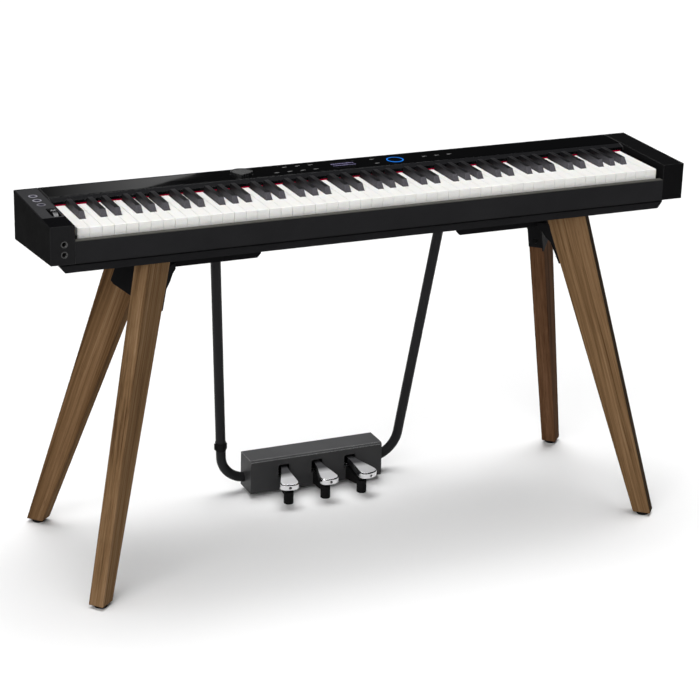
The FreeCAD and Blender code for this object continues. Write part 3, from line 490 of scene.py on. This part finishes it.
WHEEL_MID_X = -0.637
WHEEL_BAND = (0.0022, 0.0031)   # distances of a band's two sides from the middle of the wheel


def wheel_finish(name):
    """Black wheel with a thin metal band on each side of its middle."""
    g = Graph(name)
    x, _, _ = g.split(g.coords)
    off = g.math("ABSOLUTE", g.math("SUBTRACT", x, WHEEL_MID_X))
    inner, outer = WHEEL_BAND
    band = g.math("MULTIPLY", g.math("GREATER_THAN", off, inner), g.math("LESS_THAN", off, outer))
    rub = g.noise(1.0, 3.0, 0.6, g.mapping((200.0, 900.0, 900.0)))
    g.shader(
        Base_Color=g.mix(band, (0.008, 0.008, 0.009), (0.08, 0.08, 0.083)),
        Metallic=band,
        Roughness=g.spread(rub, 0.3, 0.7, 0.26, 0.38),
        Normal=g.bump(rub, 0.05, FINE_RELIEF, g.bevel(0.0005)),
    )
    return g.mat


def glow(name, color, strength, lit_from_y=None):
    """Frosted light guide with slightly uneven light; with lit_from_y it is dim ahead of it."""
    g = Graph(name)
    frost = g.noise(900.0, 2.0)
    if lit_from_y is None:
        fade = g.spread(frost, 0.2, 0.8, 0.85, 1.0)
    else:
        _, y, _ = g.split(g.coords)
        fade = g.spread(y, lit_from_y - 0.004, lit_from_y + 0.004)
    g.shader(
        Base_Color=speckled(g, color, frost, 0.8),
        Roughness=g.spread(frost, 0.3, 0.7, 0.3, 0.45),
        Emission_Color=color,
        Emission_Strength=g.math("MULTIPLY", fade, strength),
        Normal=g.bump(frost, 0.1, FINE_RELIEF),
    )
    return g.mat


def ink(name, color, glow_by):
    """Screen-printed or lit mark with slightly uneven cover."""
    g = Graph(name)
    cover = g.noise(2200.0, 2.0)
    g.shader(
        Base_Color=speckled(g, color, cover, 0.75),
        Roughness=g.spread(cover, 0.3, 0.7, 0.35, 0.5),
        Emission_Color=color,
        Emission_Strength=glow_by,
    )
    return g.mat


# ------------------------------------------------------------------ object
KEY_NAMES = ["c", "d", "e", "f", "g", "a", "b"]
SHARP_NAMES = ["c_sharp", "d_sharp", "f_sharp", "g_sharp", "a_sharp"]
BLOCK_GLOSS_Y = -0.1002     # ahead of here the top of the left block is smooth
NO_GLOSS_Y = -1.0
LIP_Y = 0.0212              # ahead of here the top panel is a satin lip
DIM_RING_Y = -0.012         # the button ring ahead of here is dim
FRONT_FOOT = (0.602, -0.2077, -40.0, -17.7)     # x, y, plan angle and lean of the right leg
REAR_FOOT = (0.6055, 0.2073, 46.5, -20.2)
LEG_SPECS = (
    # name, side (1 right, -1 left), foot, seed, tone (the board's own tone, with painted shade
    # darkening the rear legs), whether one edge lies in shade (painted shade)
    ("leg_front_right", 1, FRONT_FOOT, 1, (0.87, 0.86, 0.84), True),
    ("leg_front_left", -1, FRONT_FOOT, 2, (1.0, 1.0, 1.0), False),
    ("leg_rear_right", 1, REAR_FOOT, 3, (0.50, 0.42, 0.42), False),
    ("leg_rear_left", -1, REAR_FOOT, 4, (0.72, 0.68, 0.64), False),
)


def paint(names, mat):
    """Gives one finish to one node or to several."""
    for name in [names] if isinstance(names, str) else names:
        obj = NODES[name]
        if not obj.material_slots:
            obj.data.materials.append(mat)
        for slot in obj.material_slots:
            slot.material = mat


def paint_case():
    case = moulded("case_satin", (0.015, 0.015, 0.016), 0.42, spec=CASE_SPEC, edge_highlight=0.03)
    paint(("bottom_case", "rear_cover"), case)
    paint("front_rail", rail_finish("rail_satin"))
    # the last number is the painted shading of each block's sides
    paint("left_end_block", block_finish("block_left", BLOCK_GLOSS_Y, 0.014, 0.002))
    paint("right_end_block", block_finish("block_right", NO_GLOSS_Y, 0.006, 0.008))
    paint("left_control_plate",
          moulded("plate_grained", (0.034, 0.034, 0.036), 0.46, 900.0, 0.5, spec=0.12, edge_highlight=0.06))
    paint("top_panel", gloss_black("panel_gloss", LIP_Y))
    paint("display_window", gloss_black("display_gloss"))
    paint("felt_strip", felt("felt_crimson"))
    jack = moulded("jack_black", (0.012, 0.012, 0.013), 0.35)
    paint(("rear_sockets", "speakers"), jack)
    paint("headphone_jacks",
          moulded("jack_rim", (0.010, 0.010, 0.010), 0.16, spec=0.6, edge_highlight=0.05))
    paint(("key_rod", "key_frame"), metal("zinc_steel", (0.55, 0.55, 0.56), 0.30))
    paint("main_board", moulded("board_green", (0.02, 0.12, 0.06), 0.45))


def paint_controls():
    paint(["keys_" + n for n in KEY_NAMES], key_white("key_ivory"))
    paint(["keys_" + n for n in SHARP_NAMES], key_black("key_ebony"))
    paint("led_ring", glow("led_blue", (0.002, 0.12, 0.50), 0.95))
    paint("button_rings", glow("ring_white", (0.17, 0.165, 0.19), 0.7, DIM_RING_Y))
    button = moulded("button_satin", (0.014, 0.013, 0.026), 0.35)
    paint(["control_button_%d" % n for n in (1, 2, 3)], button)
    paint("volume_knob",
          moulded("knob_satin", (0.003, 0.003, 0.0035), 0.16, spec=0.35, edge_highlight=0.10))
    paint("pitch_bend_wheel", wheel_finish("wheel_finish"))


def paint_stand():
    for name, side, (x, y, plan, lean), seed, tone, dark in LEG_SPECS:
        turn = plan if side > 0 else 180.0 - plan
        paint(name, walnut("walnut_" + name, (side * x, y, 0.0), turn, lean, seed, tone, dark))
    coat = moulded("powder_coat", (0.013, 0.013, 0.014), 0.48, 700.0, 0.30, spec=0.1, edge_highlight=0.02)
    paint(("pedal_arm_left", "pedal_arm_right", "pedal_box_base"), coat)
    bracket = moulded("bracket_coat", (0.007, 0.007, 0.0075), 0.48, 700.0, 0.30, spec=0.01, edge_highlight=0.06)
    paint(("leg_bracket_left", "leg_bracket_right"), bracket)
    paint("pedal_box_cover", box_finish("box_coat"))
    screw = moulded("screw_black", (0.004, 0.004, 0.004), 0.45, spec=0.05)
    paint(("leg_bolts", "stand_screws"), screw)
    rubber = moulded("rubber_black", (0.005, 0.005, 0.0052), 0.70, 500.0, 0.25, spec=0.08)
    paint(("support_arms", "pedal_feet", "tube_clip", "glide_front_left", "glide_front_right",
           "glide_rear_left", "glide_rear_right"), rubber)
    chrome = pedal_chrome("pedal_chrome")
    spring = metal("spring_steel", (0.6, 0.6, 0.6), 0.25)
    for n in ("left", "middle", "right"):
        paint("pedal_" + n, chrome)
        paint("pedal_spring_" + n, spring)


# ------------------------------------------------------------------ printed marks
PANEL_SLOPE = 3.5 / 242.0
PANEL_MID = (-0.0342, 0.75325)      # y and z of a point on the sloping top
MARK_LIFT = 0.00005
BOX_FACES = ((3, 2, 1, 0), (4, 5, 6, 7), (0, 1, 5, 4), (1, 2, 6, 5), (2, 3, 7, 6), (3, 0, 4, 7))
TOUCH_STEP = 0.028
TOUCH_ROWS = (
    # x of the first mark, y, how many
    (-0.121, 0.068, 3),
    (-0.149, 0.038, 4),
    (0.069, 0.066, 1),
    (0.069, 0.038, 1),
    (0.181, 0.053, 3),
)
DISPLAY_ROWS = ((0.70, 0.0042), (0.34, 0.0030))     # place across the window, height of the blocks


def panel_z(y):
    return PANEL_MID[1] + (y - PANEL_MID[0]) * PANEL_SLOPE


def slab(bm, x, y, wide, deep, thick):
    """A thin printed bar that lies on the sloping top."""
    corners = []
    for up in (MARK_LIFT, MARK_LIFT + thick):
        for dx, dy in ((-1, -1), (1, -1), (1, 1), (-1, 1)):
            px, py = x + dx * wide / 2, y + dy * deep / 2
            corners.append(bm.verts.new((px, py, panel_z(py) + up)))
    for face in BOX_FACES:
        bm.faces.new([corners[i] for i in face])


def finished_piece(name, bm, mat):
    mesh = bpy.data.meshes.new(name)
    bm.to_mesh(mesh)
    bm.free()
    mesh.materials.append(mat)
    piece = bpy.data.objects.new(name, mesh)
    bpy.context.scene.collection.objects.link(piece)
    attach(piece, ROOT)


def touch_marks():
    """A long and a short generic bar where each touch key is."""
    thick = 0.00008
    bm = bmesh.new()
    for start, y, count in TOUCH_ROWS:
        for n in range(count):
            x = start + n * TOUCH_STEP
            slab(bm, x, y + 0.0011, 0.0105, 0.0013, thick)
            slab(bm, x - 0.0022, y - 0.0013, 0.0050, 0.0009, thick)
    finished_piece("touch_marks", bm, ink("ink_pale", (0.32, 0.32, 0.32), 0.0))


def display_marks():
    """Rows of generic blocks that stand for the lit content of the display."""
    left_margin, right_margin, gap, thick = 0.001, 0.006, 0.0011, 0.00006
    low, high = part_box("display_window")
    bm = bmesh.new()
    draw = random.Random(11)
    for share, tall in DISPLAY_ROWS:
        y = low[1] + (high[1] - low[1]) * share
        x = low[0] + left_margin
        while x < high[0] - right_margin:
            wide = draw.uniform(0.0016, 0.0046)
            slab(bm, x + wide / 2, y, wide, tall * draw.uniform(0.6, 1.0), thick)
            x += wide + gap
    finished_piece("display_marks", bm, ink("display_lit", (0.16, 0.145, 0.26), 0.75))


# ------------------------------------------------------------------ stage
FLOOR_HALF = 30.0
CARD_PLACE = (0.524, 2.966, 1.365)
CARD_TURN = (-90.0, 10.9, 0.0)
CARD_SIZE = (0.95, 0.80)
CARD_FADE = (0.07, 1.0)     # the card is dark at its first end and brightens across this share


def make_floor():
    h = FLOOR_HALF
    mesh = bpy.data.meshes.new("floor")
    mesh.from_pydata([(-h, -h, 0), (h, -h, 0), (h, h, 0), (-h, h, 0)], [], [(0, 1, 2, 3)])
    floor = bpy.data.objects.new("floor", mesh)
    bpy.context.scene.collection.objects.link(floor)
    g = Graph("floor_pale")
    g.shader(
        Base_Color=g.mix(g.noise(2.0, 3.0), (0.86, 0.86, 0.86), (0.89, 0.89, 0.89)),
        Roughness=0.9,
        Specular_IOR_Level=0.1,
    )
    floor.data.materials.append(g.mat)


def place_light(name, data, turn):
    lamp = bpy.data.objects.new(name, data)
    lamp.rotation_euler = [math.radians(v) for v in turn]
    bpy.context.scene.collection.objects.link(lamp)
    return lamp


def soft_sun(name, strength, width, tilt):
    """A broad even light without falloff, tilted from straight down."""
    data = bpy.data.lights.new(name, "SUN")
    data.energy = strength
    data.angle = math.radians(width)
    place_light(name, data, tilt)


def rear_card():
    """Small raised card behind the piano; its sloping top edge shows in the glossy panel."""
    data = bpy.data.lights.new("rear_card", "AREA")
    data.shape = "RECTANGLE"
    data.size, data.size_y = CARD_SIZE
    data.energy = 2.0
    data.use_nodes = True
    nodes, links = data.node_tree.nodes, data.node_tree.links
    place = nodes.new("ShaderNodeNewGeometry").outputs["Parametric"]
    split = nodes.new("ShaderNodeSeparateXYZ")
    fade = nodes.new("ShaderNodeMapRange")
    fade.inputs["From Min"].default_value, fade.inputs["From Max"].default_value = CARD_FADE
    links.new(place, split.inputs[0])
    links.new(split.outputs["X"], fade.inputs["Value"])
    links.new(fade.outputs[0], nodes["Emission"].inputs["Strength"])
    place_light("rear_card", data, CARD_TURN).location = CARD_PLACE


def make_world():
    world = bpy.data.worlds.new("studio")
    bpy.context.scene.world = world
    world.use_nodes = True
    back = world.node_tree.nodes["Background"]
    back.inputs["Color"].default_value = (0.95, 0.97, 1.0, 1.0)
    back.inputs["Strength"].default_value = 0.012
    view = bpy.context.scene.view_settings
    view.view_transform = "Standard"
    view.look = "None"
    view.exposure = 0.0


make_camera()
make_floor()
soft_sun("overhead", 3.05, 46.0, (-6.0, 3.0, 0.0))
soft_sun("front_left", 1.9, 50.0, (60.0, 0.0, -42.0))
rear_card()
make_world()
paint_case()
paint_controls()
paint_stand()
touch_marks()
display_marks()
